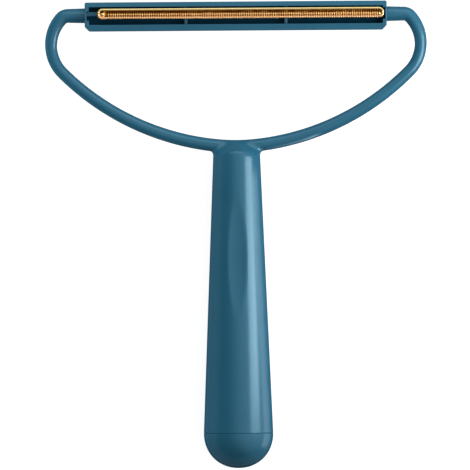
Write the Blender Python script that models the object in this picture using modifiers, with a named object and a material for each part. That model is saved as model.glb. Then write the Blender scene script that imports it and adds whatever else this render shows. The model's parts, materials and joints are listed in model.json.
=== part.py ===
"""Hand-held lint scraper with a fluted copper edge on both faces of its head.

One moulded frame makes the hollow handle and the round yoke. The tips of the yoke carry a
bar-shaped head, each face of the head holds a copper blade on a seat bar, and a domed cap
closes the end of the handle.

The tool is laid out flat, with X across the head, Y from the handle towards the head and
Z out of the front face, its origin on the axis of the two arm tips. An empty then lays it
on its back, resting on the cap and on the lips of the rear blade, centred on the origin.
"""

import math

import bmesh
import bpy
from mathutils import Matrix, Vector

MM = 0.001

# Clearances between pieces
FIT_GAP = 0.3 * MM
PRESS_RIB_GAP = 0.1 * MM

# Head housing
HEAD_LENGTH = 112.4 * MM
HEAD_HEIGHT = 10.76 * MM
HEAD_DEPTH = 10.8 * MM
HEAD_DROP = 0.5 * MM
END_WALL = 1.5 * MM
TOP_RAIL = 1.68 * MM
BOTTOM_RAIL = 2.38 * MM
WEB_THICKNESS = 4.0 * MM
SOCKET_WALL = 0.7 * MM
BRIDGE_SPACING = 37.2 * MM
BRIDGE_WIDTH = 1.3 * MM
BRIDGE_DROP = 1.2 * MM
NOTCH_FALL = 2.4 * MM
NOTCH_RISE = 1.85 * MM
NOTCH_DEPTH = 0.9 * MM
LOWER_CORNER_CHAMFER = 1.4 * MM
UPPER_CORNER_ROUND = 0.45 * MM
HEAD_EDGE_ROUND = 0.35 * MM

# Copper blades and the bars that they sit on
BLADE_TOP_GAP = 0.45 * MM
BLADE_BOTTOM_GAP = 2.0 * MM
BLADE_FREE_END_GAP = 3.0 * MM
BLADE_REACH = 0.6 * MM
LIP_PROUD = 1.1 * MM
LIP_THICKNESS = 0.8 * MM
BLADE_FLOOR = 0.6 * MM
RIDGE_WIDTH = 1.15 * MM
RIDGE_DROP = 0.5 * MM
RIDGE_STEP = 0.15 * MM
RIDGE_END_GAP = 1.2 * MM
RIDGE_START_GAP = 1.7 * MM
RIDGE_POINT = 1.4 * MM
TOOTH_PITCH = 0.76 * MM
TOOTH_GROOVE_WIDTH = 0.46 * MM
TOOTH_DEPTH = 0.35 * MM
SEAT_BAR_THICKNESS = 1.7 * MM
SEAT_BAR_EDGE = 0.15 * MM

# Round yoke, from an arm tip to the crown above the handle
ARM_STRAIGHT = 6.0 * MM
CORNER_RADIUS = 3.4 * MM
CORNER_TURN = math.radians(48)
SHOULDER_RADIUS = 14.7 * MM
SHOULDER_TURN = math.radians(87)
CROWN_TURN = math.radians(5)
CROWN_TIGHTNESS = 0.69
ARM_TIP_RADIUS = 2.75 * MM
ARM_SIDE_RADIUS = 2.22 * MM
ARM_CROWN_RADIUS = 2.42 * MM
ARM_NARROWEST_AT = 0.2
TONGUE_WIDTH = 4.2 * MM
TONGUE_LENGTH = 8.0 * MM
CROTCH_RADIUS = 1.7 * MM
CROTCH_THICKNESS = 3.0 * MM

# Handle
HANDLE_TOP_DROP = 1.2 * MM
HANDLE_LENGTH = 105.5 * MM
HANDLE_TOP_ROUND = 2.0 * MM
NECK_RADIUS = 8.72 * MM
BUTT_RADIUS = 12.92 * MM
HANDLE_WALL = 2.2 * MM
BORE_TOP_WALL = 8.0 * MM
THUMB_FLAT_DROP = 40.1 * MM
THUMB_FLAT_LENGTH = 41.7 * MM
THUMB_FLAT_DEPTH = 0.72 * MM

# End cap
DOME_HEIGHT = 13.0 * MM
DOME_FULLNESS = 2.08
SPIGOT_LENGTH = 10.0 * MM
SPIGOT_WALL = 1.6 * MM
SPIGOT_CHAMFER = 0.6 * MM
PRESS_RIB_COUNT = 6
PRESS_RIB_WIDTH = 0.9 * MM

# Fineness of the round shapes, and how far a cutter runs past what it cuts
TURNED_STEPS = 56
TUBE_ROUNDNESS = 5
CORNER_STEPS = 6
SHOULDER_STEPS = 12
SWEEP_STEPS = 14
CROWN_STEPS = 2
DOME_STEPS = 10
ROUND_STEPS = 5
FLAT_STEPS = 24
BLADE_END_STEPS = 8
SOFT_EDGE_STEPS = 2
CHAMFER_STEPS = 2
SHARP_ANGLE = math.radians(50)
WELD_DISTANCE = 0.005 * MM
CUT_MARGIN = 2.0 * MM

# Levels through the head, in its own frame
head_top = HEAD_HEIGHT / 2 - HEAD_DROP
head_bottom = head_top - HEAD_HEIGHT
recess_top = head_top - TOP_RAIL
recess_bottom = head_bottom + BOTTOM_RAIL
recess_half_length = HEAD_LENGTH / 2 - END_WALL
blade_top = recess_top - BLADE_TOP_GAP
blade_bottom = recess_bottom + BLADE_BOTTOM_GAP
blade_axis = (blade_top + blade_bottom) / 2
blade_start = -recess_half_length + BLADE_FREE_END_GAP
blade_end = recess_half_length + BLADE_REACH
rail_face = HEAD_DEPTH / 2
web_face = WEB_THICKNESS / 2
bridge_face = rail_face - BRIDGE_DROP
blade_back = bridge_face + FIT_GAP
lip_face = rail_face + LIP_PROUD
tongue_half_depth = web_face - SOCKET_WALL - FIT_GAP
arm_tip = HEAD_LENGTH / 2 + FIT_GAP

TEAL = (0.030, 0.128, 0.205, 1.0)
COPPER = (0.86, 0.46, 0.17, 1.0)


def clear_scene():
    for item in list(bpy.data.objects):
        bpy.data.objects.remove(item, do_unlink=True)


def new_collection(name):
    collection = bpy.data.collections.new(name)
    bpy.context.scene.collection.children.link(collection)
    return collection


def new_material(name, color, roughness, metallic):
    material = bpy.data.materials.new(name)
    material.diffuse_color = color
    material.use_nodes = True
    shader = material.node_tree.nodes["Principled BSDF"]
    shader.inputs["Base Color"].default_value = color
    shader.inputs["Roughness"].default_value = roughness
    shader.inputs["Metallic"].default_value = metallic
    return material


def add_object(name, data, collection):
    item = bpy.data.objects.new(name, data)
    collection.objects.link(item)
    return item


def mesh_from(shape, name):
    mesh = bpy.data.meshes.new(name)
    shape.to_mesh(mesh)
    shape.free()
    return mesh


def add_box(name, low, high, collection):
    """A box between two corners."""
    low, high = Vector(low), Vector(high)
    shape = bmesh.new()
    bmesh.ops.create_cube(shape, size=1.0)
    bmesh.ops.scale(shape, vec=high - low, verts=shape.verts)
    bmesh.ops.translate(shape, vec=(low + high) / 2, verts=shape.verts)
    return add_object(name, mesh_from(shape, name), collection)


def curve_to_mesh(item, collection):
    """Swap a curve object for a welded mesh object in the same place."""
    name = item.name
    bpy.context.view_layer.update()
    evaluated = item.evaluated_get(bpy.context.evaluated_depsgraph_get())
    mesh = bpy.data.meshes.new_from_object(evaluated)
    shape = bmesh.new()
    shape.from_mesh(mesh)
    bmesh.ops.remove_doubles(shape, verts=shape.verts, dist=WELD_DISTANCE)
    bmesh.ops.recalc_face_normals(shape, faces=shape.faces)
    shape.to_mesh(mesh)
    shape.free()
    matrix = item.matrix_world.copy()
    bpy.data.objects.remove(item)
    welded = add_object(name, mesh, collection)
    welded.matrix_world = matrix
    return welded


def add_plate(name, outline, low_z, high_z, collection):
    """A flat outline in the XY plane, filled and given a thickness."""
    curve = bpy.data.curves.new(name, "CURVE")
    curve.dimensions = "2D"
    curve.fill_mode = "BOTH"
    curve.extrude = (high_z - low_z) / 2
    spline = curve.splines.new("POLY")
    spline.points.add(len(outline) - 1)
    for point, (x, y) in zip(spline.points, outline):
        point.co = (x, y, 0.0, 1.0)
    spline.use_cyclic_u = True
    plate = curve_to_mesh(add_object(name, curve, collection), collection)
    plate.data.transform(Matrix.Translation((0.0, 0.0, (low_z + high_z) / 2)))
    return plate


def add_turned(name, profile, collection):
    """Spin a profile of (radius, height) points, outer side downwards, about local Z."""
    mesh = bpy.data.meshes.new(name)
    edges = [(i, i + 1) for i in range(len(profile) - 1)]
    mesh.from_pydata([(radius, 0.0, height) for radius, height in profile], edges, [])
    item = add_object(name, mesh, collection)
    screw = item.modifiers.new("turn", "SCREW")
    screw.axis = "Z"
    screw.angle = math.tau
    screw.steps = TURNED_STEPS
    screw.render_steps = TURNED_STEPS
    screw.use_merge_vertices = True
    screw.merge_threshold = WELD_DISTANCE
    screw.use_smooth_shade = True
    return item


def combine(item, tool, operation):
    """Join a tool shape to a piece, or cut the piece with it."""
    boolean = item.modifiers.new(tool.name, "BOOLEAN")
    boolean.operation = operation
    boolean.solver = "EXACT"
    boolean.object = tool


def arc_points(centre, radius, start, turn, steps):
    """Points round an arc, both ends included, angles in radians."""
    points = []
    for i in range(steps + 1):
        angle = start + turn * i / steps
        points.append((centre[0] + radius * math.cos(angle), centre[1] + radius * math.sin(angle)))
    return points


def stadium(start, end, y_low, y_high, steps):
    """Outline of a slot shape with round ends."""
    radius = (y_high - y_low) / 2
    middle = (y_low + y_high) / 2
    right = arc_points((end - radius, middle), radius, -math.pi / 2, math.pi, steps)
    left = arc_points((start + radius, middle), radius, math.pi / 2, math.pi, steps)
    return right + left


def shoulder_end_x():
    """How far out the arm stands where its shoulder runs into the long sweep."""
    turned = CORNER_TURN + SHOULDER_TURN
    corner_reach = CORNER_RADIUS * math.sin(CORNER_TURN)
    shoulder_reach = SHOULDER_RADIUS * (math.sin(turned) - math.sin(CORNER_TURN))
    return arm_tip + ARM_STRAIGHT + corner_reach + shoulder_reach


def sweep_radius():
    """Radius of the long sweep that lets the arm meet its twin above the handle."""
    turned = CORNER_TURN + SHOULDER_TURN
    return shoulder_end_x() / (math.sin(turned) - (1 - CROWN_TIGHTNESS) * math.sin(CROWN_TURN))


def arm_path():
    """Centreline of the right arm from its tip to the crown, as (x, y, distance run)."""
    sweep = sweep_radius()
    stretches = [
        (CORNER_RADIUS, CORNER_TURN, CORNER_STEPS),
        (SHOULDER_RADIUS, SHOULDER_TURN, SHOULDER_STEPS),
        (sweep, math.pi - CORNER_TURN - SHOULDER_TURN - CROWN_TURN, SWEEP_STEPS),
        (CROWN_TIGHTNESS * sweep, CROWN_TURN, CROWN_STEPS),
    ]
    x, y, heading, run = arm_tip + ARM_STRAIGHT, 0.0, 0.0, ARM_STRAIGHT
    path = [(arm_tip, 0.0, 0.0), (x, y, run)]
    for radius, turn, steps in stretches:
        for _ in range(steps):
            step = turn / steps
            chord = 2 * radius * math.sin(step / 2)
            x += chord * math.cos(heading - step / 2)
            y += chord * math.sin(heading - step / 2)
            heading -= step
            run += radius * step
            path.append((x, y, run))
    return path


def arm_radius(run, length):
    """Thick at the tip, thinnest on the side, and a little thicker again at the crown."""
    narrowest = ARM_NARROWEST_AT * length
    if run < narrowest:
        return ARM_TIP_RADIUS + (ARM_SIDE_RADIUS - ARM_TIP_RADIUS) * run / narrowest
    share = (run - narrowest) / (length - narrowest)
    return ARM_SIDE_RADIUS + (ARM_CROWN_RADIUS - ARM_SIDE_RADIUS) * share


def add_yoke(collection):
    """The round loop from one arm tip, through the crown, to the other tip."""
    right = arm_path()
    length = right[-1][2]
    left = [(-x, y, run) for x, y, run in right[:-1]]
    path = left + right[::-1]
    curve = bpy.data.curves.new("yoke", "CURVE")
    curve.dimensions = "3D"
    curve.bevel_depth = ARM_TIP_RADIUS
    curve.bevel_resolution = TUBE_ROUNDNESS
    curve.use_fill_caps = True
    spline = curve.splines.new("POLY")
    spline.points.add(len(path) - 1)
    for point, (x, y, run) in zip(spline.points, path):
        point.co = (x, y, 0.0, 1.0)
        point.radius = arm_radius(run, length) / ARM_TIP_RADIUS
    return curve_to_mesh(add_object("yoke", curve, collection), collection)


def crotch_outline(crown_y):
    """Filleted web that fills the two corners between the yoke and the handle's sides."""
    sweep = sweep_radius()
    crown_rise = 1 - (1 - CROWN_TIGHTNESS) * (1 - math.cos(CROWN_TURN))
    centre = Vector((shoulder_end_x() - sweep * math.sin(CORNER_TURN + SHOULDER_TURN),
                     crown_y + sweep * crown_rise))
    fillet_x = NECK_RADIUS + CROTCH_RADIUS
    outer = sweep + ARM_CROWN_RADIUS + CROTCH_RADIUS
    fillet = Vector((fillet_x, centre.y - math.sqrt(outer ** 2 - (fillet_x - centre.x) ** 2)))
    towards = (centre - fillet).normalized()
    on_axis = centre - towards * sweep
    start = math.atan2(towards.y, towards.x)
    corner = arc_points(fillet, CROTCH_RADIUS, start, math.pi - start, ROUND_STEPS)
    right = [(on_axis.x, on_axis.y)] + corner
    right.append((NECK_RADIUS / 2, fillet.y - CROTCH_RADIUS))
    return right + [(-x, y) for x, y in reversed(right)]


def cone_radius(handle_top, y):
    """Outer radius of the handle at a height, along its straight taper."""
    neck = handle_top - HANDLE_TOP_ROUND
    butt = handle_top - HANDLE_LENGTH
    return NECK_RADIUS + (BUTT_RADIUS - NECK_RADIUS) * (neck - y) / (neck - butt)


def add_handle(name, handle_top, collection):
    """Tapered handle, closed above and bored from its lower end."""
    butt = handle_top - HANDLE_LENGTH
    shoulder = arc_points((NECK_RADIUS - HANDLE_TOP_ROUND, handle_top - HANDLE_TOP_ROUND),
                          HANDLE_TOP_ROUND, math.pi / 2, -math.pi / 2, ROUND_STEPS)
    bore = BUTT_RADIUS - HANDLE_WALL
    seat_end = butt + SPIGOT_LENGTH + FIT_GAP
    bore_end = handle_top - BORE_TOP_WALL
    bore_end_radius = cone_radius(handle_top, bore_end) - HANDLE_WALL
    profile = [(0.0, handle_top)] + shoulder
    profile += [(BUTT_RADIUS, butt), (bore, butt), (bore, seat_end)]
    profile += [(bore_end_radius, bore_end), (0.0, bore_end)]
    handle = add_turned(name, profile, collection)
    handle.rotation_euler.x = -math.pi / 2
    return handle


def add_thumb_flat(name, handle_top, turn, collection):
    """Cutter that leaves a long shallow flat on the taper, turned about the handle's axis."""
    taper = math.atan2(BUTT_RADIUS - NECK_RADIUS, HANDLE_LENGTH - HANDLE_TOP_ROUND)
    middle = handle_top - THUMB_FLAT_DROP
    half = THUMB_FLAT_LENGTH / 2
    radius = (half ** 2 + THUMB_FLAT_DEPTH ** 2) / (2 * THUMB_FLAT_DEPTH)
    spread = 2 * math.asin(half / radius)
    outline = arc_points((0.0, radius - THUMB_FLAT_DEPTH), radius,
                         -math.pi / 2 - spread, 2 * spread, FLAT_STEPS)
    cutter = add_plate(name, outline, -NECK_RADIUS, NECK_RADIUS, collection)
    along_handle = Matrix(((0, 0, 1, 0), (1, 0, 0, 0), (0, 1, 0, 0), (0, 0, 0, 1)))
    on_surface = Matrix.Translation((0.0, middle, cone_radius(handle_top, middle)))
    lean = Matrix.Rotation(-taper, 4, "X")
    around = Matrix.Rotation(turn, 4, "Y")
    cutter.matrix_world = around @ on_surface @ lean @ along_handle
    return cutter


def add_handle_frame(handle_top, crown_y, parts, cutters, material):
    """Handle, yoke and the tongues of the yoke's tips: one moulding."""
    frame = add_handle("handle_frame", handle_top, parts)
    frame.data.materials.append(material)
    combine(frame, add_yoke(cutters), "UNION")
    half_web = CROTCH_THICKNESS / 2
    web = add_plate("crotch_web", crotch_outline(crown_y), -half_web, half_web, cutters)
    combine(frame, web, "UNION")
    for side, name in ((-1, "tongue_left"), (1, "tongue_right")):
        inner, outer = sorted((side * (arm_tip - TONGUE_LENGTH), side * (arm_tip + CUT_MARGIN)))
        tongue = add_box(name, (inner, -TONGUE_WIDTH / 2, -tongue_half_depth),
                         (outer, TONGUE_WIDTH / 2, tongue_half_depth), cutters)
        combine(frame, tongue, "UNION")
    for turn, name in ((0.0, "thumb_flat_front"), (math.pi, "thumb_flat_back")):
        combine(frame, add_thumb_flat(name, handle_top, turn, cutters), "DIFFERENCE")


def dome_points(radius, height, base, open_to):
    """A slightly full quarter ellipse below a base level, from a radius to the pole."""
    power = 2 / DOME_FULLNESS
    start = math.acos((open_to / radius) ** (1 / power))
    points = []
    for i in range(DOME_STEPS):
        angle = start + (math.pi / 2 - start) * i / DOME_STEPS
        points.append((radius * math.cos(angle) ** power, base - height * math.sin(angle) ** power))
    return points + [(0.0, base - height)]


def add_end_cap(butt_y, parts, cutters, material):
    """Hollow domed cap with a ribbed spigot; its origin is on the handle's axis at the seam."""
    spigot = BUTT_RADIUS - HANDLE_WALL - FIT_GAP
    inner = spigot - SPIGOT_WALL
    shoulder = -FIT_GAP
    top = SPIGOT_LENGTH - FIT_GAP
    dome = dome_points(BUTT_RADIUS, DOME_HEIGHT, shoulder, BUTT_RADIUS)
    hollow = dome_points(BUTT_RADIUS - HANDLE_WALL, DOME_HEIGHT - HANDLE_WALL, shoulder, inner)
    hollow.reverse()
    spigot_wall = [(inner, top), (spigot - SPIGOT_CHAMFER, top),
                   (spigot, top - SPIGOT_CHAMFER), (spigot, shoulder)]
    cap = add_turned("end_cap", hollow + spigot_wall + dome, parts)
    cap.data.materials.append(material)
    cap.rotation_euler.x = -math.pi / 2
    cap.location.y = butt_y
    rib_low = (spigot - SPIGOT_WALL / 2, -PRESS_RIB_WIDTH / 2, 0.0)
    rib_high = (spigot + FIT_GAP - PRESS_RIB_GAP, PRESS_RIB_WIDTH / 2, top - 2 * SPIGOT_CHAMFER)
    for i in range(PRESS_RIB_COUNT):
        rib = add_box(f"press_rib_{i + 1}", rib_low, rib_high, cutters)
        rib.data.transform(Matrix.Rotation(math.tau * i / PRESS_RIB_COUNT, 4, "Z"))
        rib.rotation_euler.x = -math.pi / 2
        rib.location.y = butt_y
        combine(cap, rib, "UNION")


def soften(item, width, segments):
    """Round the square edges of a piece."""
    bevel = item.modifiers.new("soft_edges", "BEVEL")
    bevel.width = width
    bevel.segments = segments
    bevel.limit_method = "ANGLE"
    bevel.angle_limit = SHARP_ANGLE


def add_head_block(name, collection):
    """Plain bar with chamfered lower corners, rounded upper corners and soft edges."""
    shape = bmesh.new()
    bmesh.ops.create_cube(shape, size=1.0)
    bmesh.ops.scale(shape, vec=(HEAD_LENGTH, HEAD_HEIGHT, HEAD_DEPTH), verts=shape.verts)
    for side, width in ((-1, LOWER_CORNER_CHAMFER), (1, UPPER_CORNER_ROUND)):
        corners = []
        for edge in shape.edges:
            first, second = edge.verts[0].co, edge.verts[1].co
            runs_through = abs(first.z - second.z) > HEAD_DEPTH / 2
            if runs_through and side * first.y > 0 and abs(first.y) > HEAD_HEIGHT / 4:
                corners.append(edge)
        bmesh.ops.bevel(shape, geom=corners, offset=width, segments=CHAMFER_STEPS, profile=0.5,
                        affect="EDGES", offset_type="OFFSET", material=-1)
    block = add_object(name, mesh_from(shape, name), collection)
    soften(block, HEAD_EDGE_ROUND, SOFT_EDGE_STEPS)
    return block


def head_cuts():
    """What is cut from the front face of the head, as named boxes between two corners."""
    outside = rail_face + CUT_MARGIN
    slot_half = SEAT_BAR_THICKNESS / 2 + FIT_GAP
    notch_end = recess_half_length + NOTCH_DEPTH
    bridge_inner = (BRIDGE_SPACING - BRIDGE_WIDTH) / 2
    bridge_outer = (BRIDGE_SPACING + BRIDGE_WIDTH) / 2
    end = recess_half_length
    return {
        "recess": ((-end, recess_bottom, bridge_face), (end, recess_top, outside)),
        "pocket_left": ((-end, recess_bottom, web_face), (-bridge_outer, recess_top, outside)),
        "pocket_middle": ((-bridge_inner, recess_bottom, web_face),
                          (bridge_inner, recess_top, outside)),
        "pocket_right": ((bridge_outer, recess_bottom, web_face), (end, recess_top, outside)),
        "bar_slot": ((-notch_end, blade_axis - slot_half, web_face),
                     (notch_end, blade_axis + slot_half, outside)),
        "notch_left": ((-notch_end, blade_axis - NOTCH_FALL, web_face),
                       (-end + CUT_MARGIN, blade_axis, outside)),
        "notch_right": ((end - CUT_MARGIN, blade_axis - NOTCH_FALL, web_face),
                        (notch_end, blade_axis + NOTCH_RISE, outside)),
    }


def add_head_housing(parts, cutters, material):
    """Bar with a bridged recess in each face and a socket in each end for the yoke."""
    head = add_head_block("head_housing", parts)
    head.data.materials.append(material)
    head.location.y = (head_top + head_bottom) / 2
    for face, turn in (("front", 0.0), ("back", math.pi)):
        for name, (low, high) in head_cuts().items():
            cutter = add_box(f"{name}_{face}", low, high, cutters)
            cutter.rotation_euler.y = turn
            combine(head, cutter, "DIFFERENCE")
    half_width = TONGUE_WIDTH / 2 + FIT_GAP
    half_depth = tongue_half_depth + FIT_GAP
    for side, name in ((-1, "socket_left"), (1, "socket_right")):
        inner, outer = sorted((side * (arm_tip - TONGUE_LENGTH - FIT_GAP),
                               side * (arm_tip + CUT_MARGIN)))
        socket = add_box(name, (inner, -half_width, -half_depth),
                         (outer, half_width, half_depth), cutters)
        combine(head, socket, "DIFFERENCE")


def add_seat_bar(name, turn, parts, material):
    """Bar on the floor of the recess, its ends in the two end notches."""
    end = recess_half_length + NOTCH_DEPTH - FIT_GAP
    half = SEAT_BAR_THICKNESS / 2
    bar = add_box(name, (-end, blade_axis - half, web_face + FIT_GAP),
                  (end, blade_axis + half, bridge_face), parts)
    bar.rotation_euler.y = turn
    bar.data.materials.append(material)
    soften(bar, SEAT_BAR_EDGE, 1)


def ridge_outline():
    """Side view of the toothed ridge: a ramp, a row of grooves and a square end."""
    floor = blade_back + BLADE_FLOOR / 2
    crest = lip_face - RIDGE_STEP
    start = blade_start + RIDGE_START_GAP
    end = blade_end - RIDGE_END_GAP
    outline = [(start, floor), (start, blade_back + BLADE_FLOOR), (start + RIDGE_POINT, crest)]
    teeth = int((end - start - RIDGE_POINT - TOOTH_PITCH) / TOOTH_PITCH)
    for i in range(teeth):
        groove = start + RIDGE_POINT + TOOTH_PITCH * (i + 1)
        outline.append((groove - TOOTH_GROOVE_WIDTH / 2, crest))
        outline.append((groove, crest - TOOTH_DEPTH))
        outline.append((groove + TOOTH_GROOVE_WIDTH / 2, crest))
    return outline + [(end, crest), (end, floor)]


def add_blade(face, turn, parts, cutters, material):
    """Slot-shaped copper tray: a lip all round and a toothed ridge near its lower side."""
    outer = stadium(blade_start, blade_end, blade_bottom, blade_top, BLADE_END_STEPS)
    inner = stadium(blade_start + LIP_THICKNESS, blade_end - LIP_THICKNESS,
                    blade_bottom + LIP_THICKNESS, blade_top - LIP_THICKNESS, BLADE_END_STEPS)
    blade = add_plate(f"blade_{face}", outer, blade_back, lip_face, parts)
    valley = add_plate(f"valley_{face}", inner, blade_back + BLADE_FLOOR,
                       lip_face + CUT_MARGIN, cutters)
    half = RIDGE_WIDTH / 2
    ridge = add_plate(f"ridge_{face}", ridge_outline(), -half, half, cutters)
    ridge.data.transform(Matrix.Rotation(math.pi / 2, 4, "X"))
    ridge.data.transform(Matrix.Translation((0.0, blade_axis - RIDGE_DROP, 0.0)))
    for item in (blade, valley, ridge):
        item.rotation_euler.y = turn
    combine(blade, valley, "DIFFERENCE")
    combine(blade, ridge, "UNION")
    blade.data.materials.append(material)


def lay_down(items, butt_y):
    """Rest the tool on its cap and on the upper lip of its rear blade, centred on the origin."""
    dome_y = butt_y - FIT_GAP
    reach = blade_top - dome_y
    tilt = math.asin(BUTT_RADIUS / math.hypot(reach, lip_face)) - math.atan2(lip_face, reach)
    far_end = (head_top - HEAD_EDGE_ROUND) * math.cos(tilt)
    far_end += (rail_face - HEAD_EDGE_ROUND) * math.sin(tilt) + HEAD_EDGE_ROUND
    near_end = dome_y * math.cos(tilt) - DOME_HEIGHT
    tool = bpy.data.objects.new("tool", None)
    bpy.context.scene.collection.objects.link(tool)
    for item in items:
        item.parent = tool
    tool.rotation_euler.x = -tilt
    tool.location = (0.0, -(far_end + near_end) / 2, BUTT_RADIUS + dome_y * math.sin(tilt))


def hide_cutters(cutters):
    for item in cutters.objects:
        item.hide_render = True
        item.display_type = "WIRE"


def build():
    clear_scene()
    parts = new_collection("lint_scraper")
    cutters = new_collection("cutters")
    plastic = new_material("teal_plastic", TEAL, 0.38, 0.0)
    copper = new_material("copper", COPPER, 0.28, 1.0)
    crown_y = arm_path()[-1][1]
    handle_top = crown_y - HANDLE_TOP_DROP
    butt_y = handle_top - HANDLE_LENGTH
    add_handle_frame(handle_top, crown_y, parts, cutters, plastic)
    add_end_cap(butt_y, parts, cutters, plastic)
    add_head_housing(parts, cutters, plastic)
    for face, turn in (("front", 0.0), ("back", math.pi)):
        add_seat_bar(f"seat_bar_{face}", turn, parts, plastic)
        add_blade(face, turn, parts, cutters, copper)
    hide_cutters(cutters)
    lay_down(list(parts.objects) + list(cutters.objects), butt_y)


build()
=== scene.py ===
"""Looks of the hand-held lint scraper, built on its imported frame.

Every piece is modelled in the tool's own frame, X across the head, Y from the handle to
the head and Z out of the front face, with its origin on the axis of the arm tips. It is
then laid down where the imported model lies.
"""

import json
import math

import bmesh
import bpy
import numpy as np
from mathutils import Matrix, Vector


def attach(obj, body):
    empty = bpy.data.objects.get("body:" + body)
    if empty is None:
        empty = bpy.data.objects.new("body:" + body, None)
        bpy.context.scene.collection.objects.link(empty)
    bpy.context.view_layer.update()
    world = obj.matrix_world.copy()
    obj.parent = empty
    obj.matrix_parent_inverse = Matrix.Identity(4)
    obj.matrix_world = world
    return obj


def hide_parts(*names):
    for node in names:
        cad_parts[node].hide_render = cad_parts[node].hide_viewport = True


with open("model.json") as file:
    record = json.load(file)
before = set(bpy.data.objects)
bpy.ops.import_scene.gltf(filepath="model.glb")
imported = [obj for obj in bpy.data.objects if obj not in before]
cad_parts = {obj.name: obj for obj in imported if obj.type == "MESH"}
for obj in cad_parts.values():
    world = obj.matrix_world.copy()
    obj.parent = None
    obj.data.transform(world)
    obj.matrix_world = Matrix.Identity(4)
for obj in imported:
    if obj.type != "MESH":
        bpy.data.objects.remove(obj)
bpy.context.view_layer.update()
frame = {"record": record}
bpy.context.scene.view_settings.view_transform = "Standard"

MM = 0.001

# Head housing
HEAD_LENGTH = 112.4 * MM
HEAD_HEIGHT = 10.76 * MM
HEAD_DEPTH = 10.8 * MM
HEAD_DROP = 0.5 * MM
END_WALL = 1.5 * MM
TOP_RAIL = 1.8 * MM
BOTTOM_RAIL = 2.38 * MM
TOP_RAIL_DRAFT = 0.16
BOTTOM_RAIL_DRAFT = 0.26
WEB_THICKNESS = 4.0 * MM
BRIDGE_SPACING = 37.2 * MM
BRIDGE_WIDTH = 1.0 * MM
BRIDGE_DROP = 1.2 * MM
NOTCH_DEPTH = 0.9 * MM
NOTCH_FALL = 2.4 * MM
NOTCH_RISE = 1.85 * MM
LOWER_CORNER_CHAMFER = 1.65 * MM
UPPER_CORNER_ROUND = 0.65 * MM
HEAD_EDGE_ROUND = 0.2 * MM

# Copper blade and the bar under it
BLADE_TOP_GAP = 0.54 * MM
BLADE_BOTTOM_GAP = 2.0 * MM
BLADE_FREE_END_GAP = 3.0 * MM
BLADE_REACH = 0.6 * MM
LIP_PROUD = 1.1 * MM
LIP_WIDTH = 0.88 * MM
LIP_RISE = 0.45 * MM
VALLEY_DEPTH = 1.25 * MM
LOWER_VALLEY_DEPTH = 0.45 * MM
RIDGE_WIDTH = 1.5 * MM
RIDGE_DROP = 0.28 * MM
RIDGE_STEP = 0.15 * MM
RIDGE_RISE = 0.5 * MM
RIDGE_ROUNDNESS = 1.25
TENT_GAP = 2.45 * MM
TENT_DROP = 0.2 * MM
TENT_HALF_WIDTH = 0.9 * MM
TENT_HALF_HEIGHT = 1.3 * MM
TENT_RISE = 0.8 * MM
CLEFT_GAP = 3.3 * MM
CLEFT_WIDTH = 0.45 * MM
CLEFT_DEPTH = 0.7 * MM
FLUTE_PITCH = 0.84 * MM
FLUTE_DEPTH = 0.46 * MM
FLUTE_NARROWNESS = 1.2
LIP_FLUTE_DEPTH = 0.17 * MM
SPUR_RISE = 0.9 * MM
SPUR_BEATS = (1.9 * FLUTE_PITCH, 4.3 * FLUTE_PITCH)
UNEVENNESS = 0.12
UNEVEN_BEATS = (1.1 * FLUTE_PITCH, 2.9 * FLUTE_PITCH)
END_PINCH = 0.22 * MM
SEAT_BAR_WIDTH = 1.7 * MM
SEAT_BAR_EDGE = 0.4 * MM
FIT_GAP = 0.3 * MM
SEAT_GAP = 0.05 * MM

# Share of the way from the blade's lip in to its ridge, and rise above the valley's floor
VALLEY_RISES = ((0.1, LIP_RISE / 2), (0.35, 0.0), (0.7, 0.0))

# Round yoke, from an arm tip to the crown above the handle
ARM_STRAIGHT = 6.0 * MM
CORNER_RADIUS = 3.4 * MM
CORNER_TURN = math.radians(48)
SHOULDER_RADIUS = 14.7 * MM
SHOULDER_TURN = math.radians(87)
CROWN_TURN = math.radians(5)
CROWN_TIGHTNESS = 0.69
ARM_TIP_RADIUS = 2.75 * MM
ARM_SIDE_RADIUS = 2.22 * MM
ARM_CROWN_RADIUS = 2.42 * MM
ARM_NARROWEST_AT = 0.2
ARM_SEAT = 0.3 * MM
CROTCH_RADIUS = 1.7 * MM
CROWN_TIP_RADIUS = 0.8 * MM
CROWN_TIP_RISE = 1.4 * MM
CROWN_FOOT_RADIUS = 5.8 * MM
CROWN_FOOT_DEPTH = 0.3 * MM
CROWN_BLEND = 2.6 * MM
LEAST_BLEND_SHARE = 0.1
CROWN_SOFT_WIDTH = 10.5 * MM
CROWN_SOFT_HEIGHT = 5.6 * MM

# Handle
HANDLE_TOP_DROP = 1.2 * MM
HANDLE_LENGTH = 105.5 * MM
HANDLE_TOP_ROUND = 2.0 * MM
HANDLE_FACE_ROUND = 2.4 * MM
NECK_RADIUS = 8.72 * MM
BUTT_RADIUS = 12.92 * MM
HANDLE_WALL = 2.2 * MM
BORE_TOP_WALL = 8.0 * MM
SEAM_EDGE = 0.12 * MM
SCOOP_DROP = 40.1 * MM
SCOOP_LENGTH = 41.7 * MM
SCOOP_DEPTH = 0.87 * MM
SCOOP_HOLLOW = 0.05 / MM
SCOOP_EDGE = 0.2 * MM

# End cap
DOME_HEIGHT = 13.0 * MM
DOME_FULLNESS = 2.08
SPIGOT_LENGTH = 10.0 * MM
SPIGOT_WALL = 1.6 * MM
SPIGOT_CHAMFER = 0.6 * MM
PRESS_RIB_COUNT = 6
PRESS_RIB_RISE = 0.2 * MM

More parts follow.
